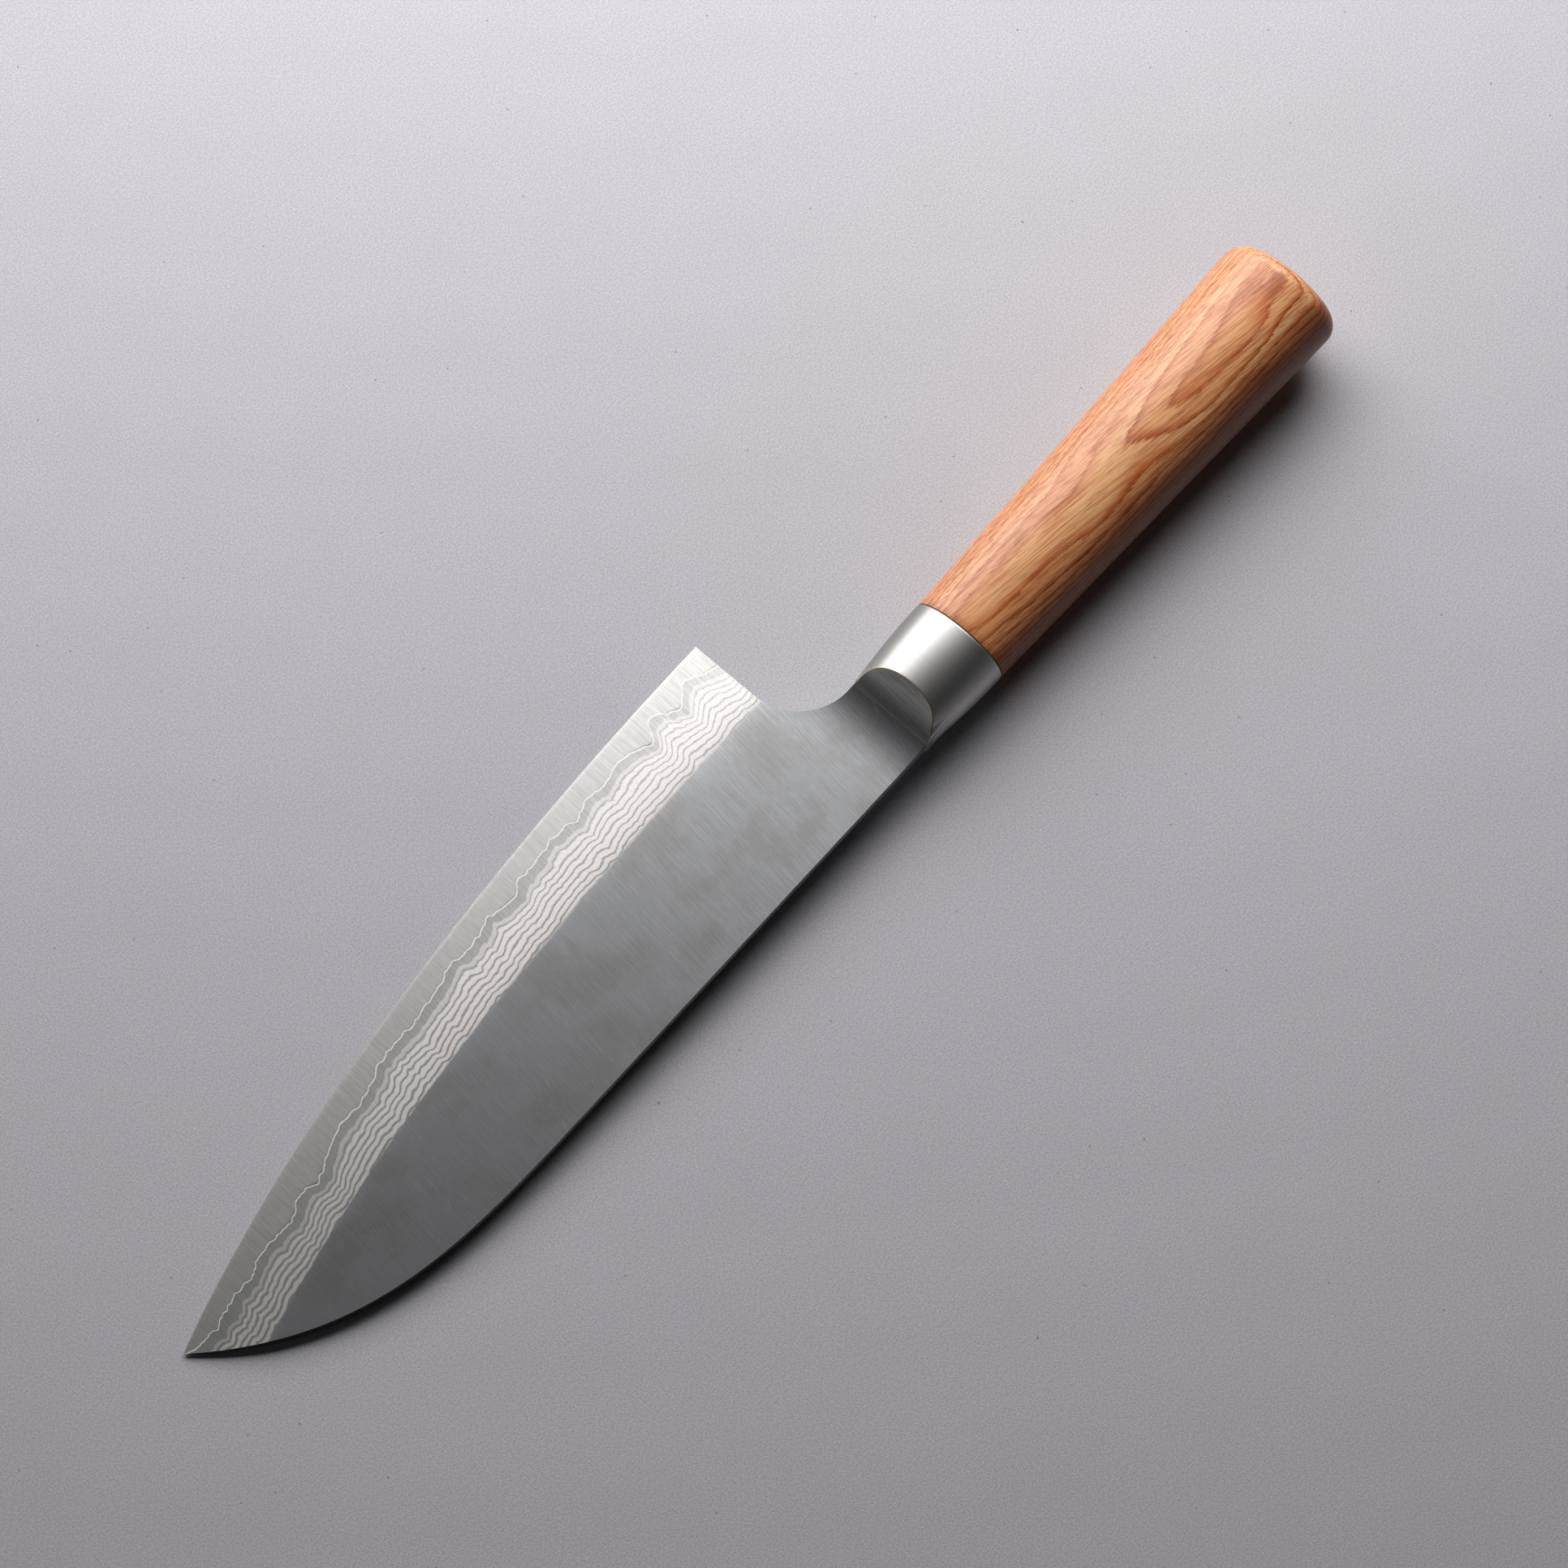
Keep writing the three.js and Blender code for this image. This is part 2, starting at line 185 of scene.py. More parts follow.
SPIGOT_HALF_THICKNESS = 5
SPIGOT_LENGTH = 5
SPIGOT_FILLET = 0.12

# Handle
HANDLE_FRONT = 0.24
HANDLE_LENGTH = 100.49
BUTT_HALF_WIDTH = 13.25
BUTT_HALF_THICKNESS = 9.9
BUTT_DROP = 0.6
RIM_RADIUS = 3.7
CROWN = 1.9
WOOD_SHIFT = (6.1, 4.4, 0)
VENEER = 0.9
FRONT_EASE = 0.1
FRONT_ROUND = 0.03
BORE_HALF_WIDTH = 6
BORE_HALF_THICKNESS = 4.2
BORE_DEPTH = 78
BORE_STEP = 0.2
SLEEVE = 0.8
HANDLE_SIDES = 192
CROWN_SHARES = (0.06, 0.2, 0.35, 0.5, 0.65, 0.78, 0.88, 0.95)
RIM_RINGS = 15
SHAFT_RINGS = 60

# Rise over the edge of the bright line where the hard core comes out, at places along the blade
CORE_LINE = [
    (34, 5.8), (38, 4.3), (41.3, 3), (43, 5), (45.3, 6), (47.3, 5.1), (49.6, 3), (51.5, 3.6),
    (53.4, 6.6), (55.5, 6.2), (57.5, 4.9), (61, 4.2), (66, 5), (70, 4.4), (74, 5.1), (80, 4.2),
    (86, 4.5), (90, 4), (94.3, 5.8), (96.5, 5.2), (100, 4), (104.4, 5), (112, 4.1), (118, 4.9),
    (126, 4.9), (130, 4.2),
    (135, 4.3), (140, 5.2), (144, 5.5), (147.5, 4.4), (152, 5.4), (158.5, 6.9), (163.7, 5), (166, 6.4),
    (170.5, 5.8), (176.5, 4.5), (180, 5.3), (183.5, 4), (188, 4), (192, 3.4), (195, 2.5), (199, 0.3),
]


def to_row(points):
    """Knife millimetres to metres in the row frame."""
    p = np.asarray(points, float) * FIT
    x = JOINT.x + p[:, 0] * math.cos(PITCH) + p[:, 2] * math.sin(PITCH)
    z = JOINT.z - p[:, 0] * math.sin(PITCH) + p[:, 2] * math.cos(PITCH)
    return np.column_stack([x, JOINT.y + p[:, 1], z]) * MM


def make_piece(name, points, faces, material, node, attributes, sharp):
    """A mesh piece in place of a CAD node, riding on the knife's one body."""
    mesh = bpy.data.meshes.new(name)
    mesh.from_pydata(to_row(points).tolist(), [], faces)
    mesh.validate()
    mesh.shade_smooth()
    mesh.set_sharp_from_angle(angle=math.radians(sharp))
    plan = mesh.uv_layers.new(name="plan")
    corners = np.zeros(len(mesh.loops), np.int32)
    mesh.loops.foreach_get("vertex_index", corners)
    flat = np.asarray(points, float)[corners][:, :2] * PLAN_SCALE
    plan.data.foreach_set("uv", flat.astype(np.float32).ravel())
    for key, values in attributes.items():
        layer = mesh.attributes.new(key, "FLOAT", "POINT")
        layer.data.foreach_set("value", np.asarray(values, np.float32))
    mesh.materials.append(material)
    piece = bpy.data.objects.new(name, mesh)
    bpy.context.scene.collection.objects.link(piece)
    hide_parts(node)
    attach(piece, "root")
    return piece


# Shader helper


class Shader:
    """A node tree with short calls for the few nodes that the finishes use."""

    def __init__(self, name):
        self.material = bpy.data.materials.new(name)
        self.material.use_nodes = True
        self.tree = self.material.node_tree
        self.surface = self.tree.nodes["Principled BSDF"]

    def node(self, kind, **settings):
        made = self.tree.nodes.new(kind)
        for key, value in settings.items():
            setattr(made, key, value)
        return made

    def link(self, source, target):
        if isinstance(source, bpy.types.NodeSocket):
            self.tree.links.new(source, target)
        else:
            target.default_value = source

    def math(self, operation, *values):
        made = self.node("ShaderNodeMath", operation=operation)
        for value, socket in zip(values, made.inputs):
            self.link(value, socket)
        return made.outputs[0]

    def times(self, first, second):
        return self.math("MULTIPLY", first, second)

    def shifted(self, value, texture, amount):
        """The value, moved by up to half the amount either way by a texture from 0 to 1."""
        return self.math("ADD", value, self.times(self.math("SUBTRACT", texture, 0.5), amount))

    def remap(self, value, low, high, to_low=0.0, to_high=1.0, smooth=True):
        kind = "SMOOTHSTEP" if smooth else "LINEAR"
        made = self.node("ShaderNodeMapRange", interpolation_type=kind, clamp=True)
        for socket, number in zip(made.inputs, (value, low, high, to_low, to_high)):
            self.link(number, socket)
        return made.outputs[0]

    def attribute(self, name):
        return self.node("ShaderNodeAttribute", attribute_name=name).outputs["Fac"]

    def knife_point(self):
        """The shaded point in the knife's frame, in millimetres."""
        coords = self.node("ShaderNodeTexCoord").outputs["Object"]
        mapping = self.node("ShaderNodeMapping", vector_type="POINT")
        self.link(coords, mapping.inputs["Vector"])
        x = JOINT.x * math.cos(PITCH) - JOINT.z * math.sin(PITCH)
        z = JOINT.x * math.sin(PITCH) + JOINT.z * math.cos(PITCH)
        mapping.inputs["Location"].default_value = (-x, -JOINT.y, -z)
        mapping.inputs["Rotation"].default_value = (0, -PITCH, 0)
        mapping.inputs["Scale"].default_value = (1 / MM, 1 / MM, 1 / MM)
        return mapping.outputs[0]

    def scaled(self, vector, scale, turn=0.0, shift=(0, 0, 0)):
        """The vector turned about Z by an angle in degrees, then scaled along each axis."""
        if turn:
            spin = self.node("ShaderNodeVectorRotate", rotation_type="Z_AXIS")
            self.link(vector, spin.inputs["Vector"])
            spin.inputs["Angle"].default_value = math.radians(turn)
            vector = spin.outputs[0]
        made = self.node("ShaderNodeVectorMath", operation="MULTIPLY_ADD")
        self.link(vector, made.inputs[0])
        made.inputs[1].default_value = scale
        made.inputs[2].default_value = shift
        return made.outputs[0]

    def noise(self, vector, scale, detail, roughness):
        made = self.node("ShaderNodeTexNoise")
        self.link(vector, made.inputs["Vector"])
        made.inputs["Scale"].default_value = scale
        made.inputs["Detail"].default_value = detail
        made.inputs["Roughness"].default_value = roughness
        return made.outputs["Fac"]

    def split(self, vector):
        made = self.node("ShaderNodeSeparateXYZ")
        self.link(vector, made.inputs[0])
        return made.outputs

    def join(self, x, y, z):
        made = self.node("ShaderNodeCombineXYZ")
        for value, socket in zip((x, y, z), made.inputs):
            self.link(value, socket)
        return made.outputs[0]

    def mix(self, share, first, second, blend="MIX"):
        made = self.node("ShaderNodeMix", data_type="RGBA", blend_type=blend)
        self.link(share, made.inputs["Factor"])
        colours = [socket for socket in made.inputs if socket.type == "RGBA"]
        for value, socket in zip((first, second), colours):
            self.link(self.colour(value), socket)
        return next(socket for socket in made.outputs if socket.type == "RGBA")

    @staticmethod
    def colour(value):
        return value if isinstance(value, bpy.types.NodeSocket) else (*value, 1)

    def ramp(self, value, stops):
        made = self.node("ShaderNodeValToRGB")
        self.link(value, made.inputs[0])
        elements = made.color_ramp.elements
        while len(elements) < len(stops):
            elements.new(0.5)
        for element, (place, colour) in zip(elements, stops):
            element.position = place
            element.color = (*colour, 1)
        return made.outputs[0]

    def bump(self, height, distance, strength):
        made = self.node("ShaderNodeBump")
        made.inputs["Strength"].default_value = strength
        made.inputs["Distance"].default_value = distance
        self.link(height, made.inputs["Height"])
        return made.outputs[0]

    def set(self, **sockets):
        """Sets or links the surface's sockets; a name's underscores stand for spaces."""
        for key, value in sockets.items():
            self.link(value, self.surface.inputs[key.replace("_", " ")])

    def brush_along_x(self, amount):
        """Spreads the gloss along the knife, as lines brushed across it do."""
        tangent = self.node("ShaderNodeTangent", direction_type="UV_MAP", uv_map="plan")
        self.link(tangent.outputs[0], self.surface.inputs["Tangent"])
        self.surface.inputs["Anisotropic"].default_value = amount


# Finishes


def brushed_lines(s, point, turn):
    """Fine and coarse grinding lines that run across the blade, from 0 to 1."""
    fine = s.noise(s.scaled(point, (4.6, 0.11, 1), turn), 1, 1, 0.6)
    coarse = s.noise(s.scaled(point, (1.1, 0.025, 1), turn, (40, 7, 0)), 1, 3, 0.65)
    dash = s.noise(s.scaled(point, (6.5, 0.6, 1), turn, (2, 3, 0)), 1, 1, 0.6)
    lines = s.math("ADD", s.times(fine, 0.5), s.times(dash, 0.3))
    return s.math("ADD", lines, s.times(coarse, 0.2))


def etched_bevel(s, point, x):
    """Where the bevel is etched: only up to its ragged upper border, as the flat above is plain."""
    border = s.noise(s.scaled(point, (1.1, 1.1, 0), 0, (11, 3, 0)), 1, 3, 0.6)
    below = s.math("SUBTRACT", s.attribute("bevel"), s.attribute("rise"))
    reach = s.math("SUBTRACT", below, s.times(border, 0.8))
    softness = s.remap(x, 85, 150, 1.5, 0.35)
    return s.remap(s.math("DIVIDE", reach, softness), -1.0, -0.2)


def pale_stripes(s, point, x, ragged):
    """Wavy layers: grey lines, ragged at a small scale, between pale stripes."""
    drift = s.noise(s.scaled(point, (0.1, 0.2, 0)), 1, 2, 0.5)
    wander = s.noise(s.scaled(point, (0.27, 0.08, 0), 0, (8, 6, 0)), 1, 2, 0.5)
    depth = s.shifted(s.attribute("layer"), drift, 1.6)
    depth = s.shifted(depth, wander, 2.6)
    depth = s.shifted(depth, ragged, 0.5)
    phase = s.math("FRACT", s.math("DIVIDE", s.math("SUBTRACT", depth, FIRST_LAYER), LAYER_PITCH))
    away = s.math("ABSOLUTE", s.math("SUBTRACT", phase, 0.5))
    away = s.math("ADD", away, s.remap(x, 90, 185, 0, 0.06))
    stripe = s.math("SUBTRACT", 1.0, s.remap(away, 0.31, 0.38))
    # The lowest stripe, next to the core, is faint
    faint = s.times(stripe, s.remap(depth, 1.2, 2.0, 0.0, 0.55))
    full = s.times(stripe, s.remap(depth, 2.6, 3.6))
    return s.math("MAXIMUM", faint, full)


def bead_line(s, point):
    """The core's bright line: a thin bead of uneven width at the cladding's border."""
    width = s.noise(s.scaled(point, (2.2, 2.2, 0), 0, (4, 9, 0)), 1, 1, 0.5)
    over_line = s.math("SUBTRACT", s.attribute("rise"), s.attribute("line"))
    return s.remap(s.math("DIVIDE", over_line, s.math("ADD", width, 0.05)), 0.42, 0.26)


def plain_flat(s, point, x, lines, clouds):
    """The brushed flat: painted shade towards the tip and the scoop, clouded, with scratches and
    nicks.
    """
    scratch = s.remap(s.noise(s.scaled(point, (7, 0.22, 0), 24, (5, 1, 0)), 1, 0, 0.5), 0.76, 0.8)
    nick = s.remap(s.noise(s.scaled(point, (2.6, 3.2, 0), 0, (9, 9, 0)), 1, 0, 0.5), 0.81, 0.85)
    plain = s.ramp(lines, [(0.38, (0.433, 0.441, 0.457)), (0.62, (0.613, 0.623, 0.642))])
    # Painted shade: the flat darkens towards the tip
    plain = s.mix(s.remap(x, 45, 150, 0, 0.4), plain, (0.27, 0.275, 0.292))
    plain = s.mix(s.remap(clouds, 0.45, 0.62, 0, 0.75), plain, (0.85, 0.823, 0.798), "MULTIPLY")
    # Painted shade in the corner at the scoop's foot
    plain = s.mix(s.remap(x, 29, 20.5, 0, 0.9), plain, FOOT_SHADE, "MULTIPLY")
    plain = s.mix(s.times(scratch, 0.4), plain, (0.85, 0.85, 0.85))
    return s.mix(s.times(nick, 0.5), plain, (0.9, 0.9, 0.9))


def clad_steel():
    s = Shader("clad_steel")
    point = s.knife_point()
    x = s.split(point)[0]
    ragged = s.noise(s.scaled(point, (2.6, 3.2, 0)), 1, 3, 0.75)
    clouds = s.noise(s.scaled(point, (0.065, 0.075, 0), 0, (3, 8, 0)), 1, 3, 0.55)
    lines = brushed_lines(s, point, 7)
    etched = etched_bevel(s, point, x)
    stripe = s.times(pale_stripes(s, point, x, ragged), etched)
    bright_line = bead_line(s, point)

    low_grey = s.ramp(lines, [(0.38, (0.37, 0.37, 0.366)), (0.62, (0.5, 0.5, 0.495))])
    plain = s.mix(etched, plain_flat(s, point, x, lines, clouds), low_grey)
    pale = s.ramp(ragged, [(0.35, (0.5, 0.476, 0.461)), (0.65, (0.6, 0.576, 0.56))])
    # Painted shade: the pale stripes darken towards the tip
    pale = s.mix(s.remap(x, 95, 185, 0, 0.85), pale, (0.36, 0.345, 0.335))
    colour = s.mix(bright_line, s.mix(stripe, plain, pale), BRIGHT_LINE)
    s.set(Base_Color=colour, Metallic=1.0)

    stripe = s.math("MAXIMUM", stripe, bright_line)
    rough = s.shifted(s.remap(lines, 0.35, 0.65, 0.305, 0.286, smooth=False), clouds, 0.015)
    s.set(Roughness=s.math("ADD", rough, s.times(stripe, 0.12)))
    height = s.times(lines, s.math("SUBTRACT", 1.0, s.times(stripe, 0.7)))
    s.set(Normal=s.bump(height, 0.000006, 0.3))
    s.brush_along_x(0.55)
    return s.material


def core_steel():
    s = Shader("core_steel")
    point = s.knife_point()
    lines = brushed_lines(s, point, 2)
    strokes = s.noise(s.scaled(point, (3.4, 0.12, 0), -2, (9, 2, 0)), 1, 2, 0.6)
    colour = s.ramp(lines, [(0.36, (0.41, 0.407, 0.399)), (0.64, (0.55, 0.547, 0.537))])
    colour = s.mix(s.remap(strokes, 0.6, 0.72, 0, 0.3), colour, (0.58, 0.57, 0.556))
    bead = s.remap(s.math("SUBTRACT", s.attribute("line"), s.attribute("rise")), 0.11, 0.05)
    colour = s.mix(bead, colour, BRIGHT_LINE)
    s.set(Base_Color=colour, Metallic=1.0)
    rough = s.remap(lines, 0.3, 0.7, 0.315, 0.305, smooth=False)
    s.set(Roughness=s.math("ADD", rough, s.times(bead, 0.1)))
    s.set(Normal=s.bump(lines, 0.000004, 0.3))
    s.brush_along_x(0.5)
    return s.material


def bolster_steel():
    s = Shader("bolster_steel")
    point = s.knife_point()
    scoop = s.attribute("scoop")
    rim = s.attribute("rim")
    fine = s.noise(s.scaled(point, (9, 0.5, 0.5)), 1, 2, 0.6)
    coarse = s.noise(s.scaled(point, (3, 0.14, 0.14), 0, (4, 2, 1)), 1, 3, 0.6)
    lines = s.math("ADD", s.times(fine, 0.6), s.times(coarse, 0.4))
    satin = s.ramp(lines, [(0.34, (0.4, 0.393, 0.382)), (0.66, (0.47, 0.461, 0.449))])
    # The scoop is brushed across like the blade, with painted shade towards its foot
    across = brushed_lines(s, point, 4)
    milled = s.ramp(across, [(0.36, (0.5, 0.496, 0.488)), (0.64, (0.74, 0.735, 0.724))])
    near_foot = s.remap(s.split(point)[0], 15.5, 20.3, 0, 0.9)
    milled = s.mix(near_foot, milled, FOOT_SHADE, "MULTIPLY")
    # The rim's pale yellow colour is a painted glint along the scoop's edge, and its lower roughness
    # is the edge's polish
    colour = s.mix(rim, s.mix(s.remap(scoop, 0.0, 0.2), satin, milled), (0.72, 0.6, 0.44))
    s.set(Base_Color=colour, Metallic=1.0)
    rough = s.remap(lines, 0.2, 0.8, 0.46, 0.42, smooth=False)
    rough = s.math("ADD", rough, s.remap(scoop, 0.0, 0.2, 0, -0.1))
    rough = s.math("ADD", rough, s.remap(scoop, 0.25, 1.0, 0, 0.24))
    s.set(Roughness=s.math("SUBTRACT", rough, s.times(rim, 0.08)))
    s.set(Normal=s.bump(lines, 0.00002, 0.5))
    s.brush_along_x(0.3)
    return s.material


def tang_steel():
    s = Shader("tang_steel")
    scale = s.noise(s.scaled(s.knife_point(), (0.4, 0.9, 0.9)), 1, 5, 0.6)
    colour = s.ramp(scale, [(0.3, (0.32, 0.31, 0.3)), (0.7, (0.5, 0.49, 0.48))])
    s.set(Base_Color=colour, Metallic=1.0, Roughness=s.remap(scale, 0.2, 0.8, 0.6, 0.42))
    s.set(Normal=s.bump(scale, 0.00008, 0.5))
    return s.material


def set_resin():
    s = Shader("resin")
    grains = s.noise(s.knife_point(), 1.4, 4, 0.6)
    colour = s.ramp(grains, [(0.3, (0.05, 0.035, 0.03)), (0.7, (0.1, 0.075, 0.06))])
    s.set(Base_Color=colour, Roughness=s.remap(grains, 0.3, 0.7, 0.5, 0.7))
    s.set(Normal=s.bump(grains, 0.00005, 0.4))
    return s.material


def veneers(s, point, waver):
    """Tan sheets with stained borders. They lie flat in the blade's plane, so the flare of the
    handle cuts them into long tongues."""
    _, y, z = s.split(point)
    swell = s.noise(s.scaled(point, (0.03, 0.085, 0.04), -5, WOOD_SHIFT), 1, 1, 0.4)
    feather = s.noise(s.scaled(point, (0.2, 3.4, 3.4), 8, (7, 2, 5)), 1, 4, 0.75)
    depth = s.math("ADD", s.math("ADD", z, VENEER / 2), s.times(y, 0.03))
    depth = s.shifted(depth, swell, 2.9)
    depth = s.shifted(depth, waver, 0.6)
    depth = s.shifted(depth, feather, 0.6)
    sheet = s.math("DIVIDE", depth, VENEER)
    inside = s.math("FRACT", sheet)
    kind = s.noise(s.join(s.times(s.math("FLOOR", sheet), 7.31), 0.0, 0.0), 1, 0, 0.5)
    tans = [(0.4, (0.66, 0.28, 0.103)), (0.5, (0.72, 0.345, 0.142)), (0.6, (0.77, 0.405, 0.18))]
    # Painted sheen: the tan turns paler and pinker towards the edge side, which faces the lamp
    tan_and_sheen = s.mix(s.remap(y, 2, -7, 0, 0.4), s.ramp(kind, tans), (0.8, 0.44, 0.285))
    stain = s.ramp(kind, [(0.4, (0.4, 0.08, 0.012)), (0.6, (0.52, 0.13, 0.022))])
    vary = s.noise(s.scaled(point, (0.05, 0.2, 0.2), 0, (5, 5, 5)), 1, 2, 0.5)
    stained = s.math("MAXIMUM", s.remap(inside, 0.56, 0.02), s.remap(inside, 0.94, 1.0, 0, 0.8))
    # Painted sheen: the stains fade towards the edge side, which faces the lamp
    stained = s.times(stained, s.remap(y, -8, 3, 0.45, 1.0))
    stained = s.times(stained, s.remap(vary, 0.3, 0.6, 0.7, 1.0))
    glue_line = s.times(stained, s.remap(inside, 0.15, 0.02, 0, 0.6))
    return s.mix(glue_line, s.mix(stained, tan_and_sheen, stain), (0.27, 0.05, 0.01))


def laminated_wood():
    s = Shader("laminated_wood")
    point = s.knife_point()
    y = s.split(point)[1]
    waver = s.noise(s.scaled(point, (0.06, 0.3, 0.2), 6, (2, 5, 3)), 1, 2, 0.5)
    tone = veneers(s, point, waver)

    # Fibres and pores run along the grain, a few degrees off the handle's axis
    fibre = s.noise(s.scaled(point, (0.055, 3.0, 3.0), 8), 1, 3, 0.7)
    strand = s.noise(s.scaled(point, (0.03, 1.2, 1.2), 7, (6, 1, 2)), 1, 3, 0.6)
    pore = s.remap(s.noise(s.scaled(point, (0.22, 5.5, 5.5), 9, (1, 9, 4)), 1, 1, 0.5), 0.62, 0.72)
    tone = s.mix(s.remap(strand, 0.5, 0.75, 0.0, 0.35), tone, (0.78, 0.415, 0.183))
    tone = s.mix(s.remap(fibre, 0.56, 0.38, 0.0, 0.8), tone, (0.62, 0.38, 0.27), "MULTIPLY")
    tone = s.mix(s.times(pore, 0.55), tone, (0.22, 0.065, 0.02))

    # Painted shade along the spine side, which faces away from the lamp
    painted_shade_side = s.remap(s.math("ADD", y, s.times(waver, 3.0)), 7.8, 12.6)
    tone = s.mix(painted_shade_side, tone, (0.38, 0.24, 0.16), "MULTIPLY")
    s.set(Base_Color=tone, Roughness=s.remap(fibre, 0.2, 0.8, 0.42, 0.56))
    s.set(Specular_IOR_Level=0.3, Coat_Weight=0.35, Coat_Roughness=0.26)
    s.set(Normal=s.bump(s.math("SUBTRACT", fibre, s.times(pore, 0.8)), 0.00004, 0.5))
    return s.material


def paper():
    s = Shader("paper")
    coords = s.node("ShaderNodeTexCoord").outputs["Object"]
    felt = s.noise(coords, 2700, 3, 0.8)
    mottle = s.noise(coords, 60, 3, 0.6)
    fleck = s.remap(s.noise(coords, 900, 0, 0.5), 0.885, 0.895)
    colour = s.ramp(felt, [(0.3, (0.36, 0.352, 0.374)), (0.7, (0.634, 0.618, 0.655))])
    colour = s.mix(s.remap(mottle, 0.3, 0.7, 0, 0.1), colour, (0.42, 0.41, 0.43))
    colour = s.mix(s.times(fleck, 0.6), colour, (0.16, 0.155, 0.16))
    s.set(Base_Color=colour, Roughness=0.85, Specular_IOR_Level=0.25)
    s.set(Normal=s.bump(felt, 0.0001, 0.6))
    return s.material


# Blade


def edge_y(x):
    share = np.maximum(0, (x - HEEL_X) / (TIP_X - HEEL_X))
    return HEEL_Y + BELLY_RISE * share**2 + NOSE_RISE * share**NOSE_POWER


def spine_y(x):
    tip_y = HEEL_Y + BELLY_RISE + NOSE_RISE
    share = np.maximum(0, (x - TIP_X + SWEEP) / SWEEP)
    return SPINE_Y - (SPINE_Y - tip_y) * share**SWEEP_POWER


def blend_through(places, values, at):
    """A smooth curve through points: Catmull-Rom between the two that lie beside the place."""
    at = min(max(at, places[0]), places[-1])
    i = int(np.clip(np.searchsorted(places, at) - 1, 0, len(places) - 2))
    share = (at - places[i]) / (places[i + 1] - places[i])
    before, after = values[max(i - 1, 0)], values[min(i + 2, len(values) - 1)]
    start, end = values[i], values[i + 1]
    slope_in, slope_out = (end - before) / 2, (after - start) / 2
    a = 2 * share**3 - 3 * share**2 + 1
    b = share**3 - 2 * share**2 + share
    return a * start + b * slope_in + (1 - a) * end + (share**3 - share**2) * slope_out


def ripple(x, height, pitch, place):
    """Small uneven waves along the blade."""
    return np.array([height * noise.noise(Vector((v * pitch, place, 0))) for v in x])


def core_line(x):
    """Rise of the core's bright line over the edge, wavy, and low enough to stay on the tip."""
    places, rises = np.array(CORE_LINE).T
    smooth = np.array([blend_through(places, rises, v) for v in x])
    wavy = smooth + ripple(x, 0.75, 0.5, 3.1) + ripple(x, 0.36, 1.4, 7.3)
    tall = spine_y(x) - edge_y(x)
    return np.minimum(np.where(x > HEEL_X + 1, wavy, smooth), LINE_CEILING * tall)


def bevel_width(x):
    share = np.maximum(0, (x - HEEL_X) / (TIP_X - HEEL_X))
    return HEEL_BEVEL + (TIP_BEVEL - HEEL_BEVEL) * share


def neck_swell(x):
    """The extra half thickness near the bolster, which goes on straight for a little way inside it."""
    share = np.clip((NECK_SWELL_X - x) / (NECK_SWELL_X - SCOOP_FOOT), 0, SWELL_OVERRUN)
    straight = SWELL_POWER * np.maximum(share - 1, 0)
    return NECK_SWELL * (np.minimum(share, 1) ** SWELL_POWER + straight)


def half_thickness(x, rise):
    """Half the blade's thickness: a flat, a softly bent bevel and a tiny bevel at the edge."""
    share = np.clip((x - SHOULDER_X) / (TIP_X - SHOULDER_X), 0, 1)
    flat = NECK_HALF + (TIP_HALF - NECK_HALF) * share
    bend = HEEL_BEND + (TIP_BEND - HEEL_BEND) * share**BEND_POWER
    width = bevel_width(x)
    below = width - rise
    half = flat - (flat - EDGE_HALF) / width * (below + np.sqrt(below**2 + bend**2)) / 2
    tiny = EDGE_LAND + (half - LAND_LIFT) * np.clip(rise / MICRO_BEVEL, 0, 1)
    return np.minimum(half, tiny) + neck_swell(x)


def neck_side(x):
    """How far the neck reaches to either side inside the bolster."""
    side = JOINT_HALF_WIDTH + (NOSE_HALF_WIDTH - JOINT_HALF_WIDTH) * (x / BOLSTER_LENGTH) ** 2
    return NECK_SHARE * side


def stub_share():
    """Where the stub tang's lower side lies on the shoulder line, as a share of its height."""
    return (neck_side(SHOULDER_X) - STUB_HALF) / (2 * neck_side(SHOULDER_X))


def choil_top(x):
    """Upper side of the choil's round at a place along the knife."""
    return CHOIL_Y + math.sqrt(CHOIL_RADIUS**2 - (x - CHOIL_X) ** 2)


def choil_side(y):
    """Where a row of the blade starts: at the leaning heel line, or at the round above it."""
    if y < CHOIL_Y:
        return HEEL_X + HEEL_LEAN * (y - HEEL_Y) / (CHOIL_Y - HEEL_Y)
    return CHOIL_X + math.sqrt(max(0, CHOIL_RADIUS**2 - (y - CHOIL_Y) ** 2))


class Grid:
    """Points of the blade's plan, by column and row."""

    def __init__(self):
        self.ids = {}
        self.points = []
        self.rows = []

    def add(self, column, row, x, y):
        self.ids[column, row] = len(self.points)
        self.points.append((x, y))
        self.rows.append(row)

    def cells(self):
        """The quads between neighbouring points, each with its row."""
        found = []
        for i, j in self.ids:
            around = [self.ids.get(key) for key in ((i, j), (i + 1, j), (i + 1, j + 1), (i, j + 1))]
            if None not in around:
                found.append((tuple(around), j))
        return found


def row_heights(shares):
    """Heights of the blade's rows at its heel side: to the line, up the heel and the round, and on."""
    line_y = HEEL_Y + CORE_LINE[0][1]
    low = HEEL_Y + CORE_LINE[0][1] * np.linspace(0, 1, EDGE_ROWS + 1)[:-1]
    steep = np.linspace(line_y, CHOIL_Y, STEEP_ROWS)
    arc = CHOIL_Y + CHOIL_RADIUS * np.sin(np.linspace(0, math.pi / 2, ARC_ROWS))[1:]
    neck = -NECK_DEPTH + (SPINE_Y + NECK_DEPTH) * shares
    return np.concatenate([low, steep, arc, neck])


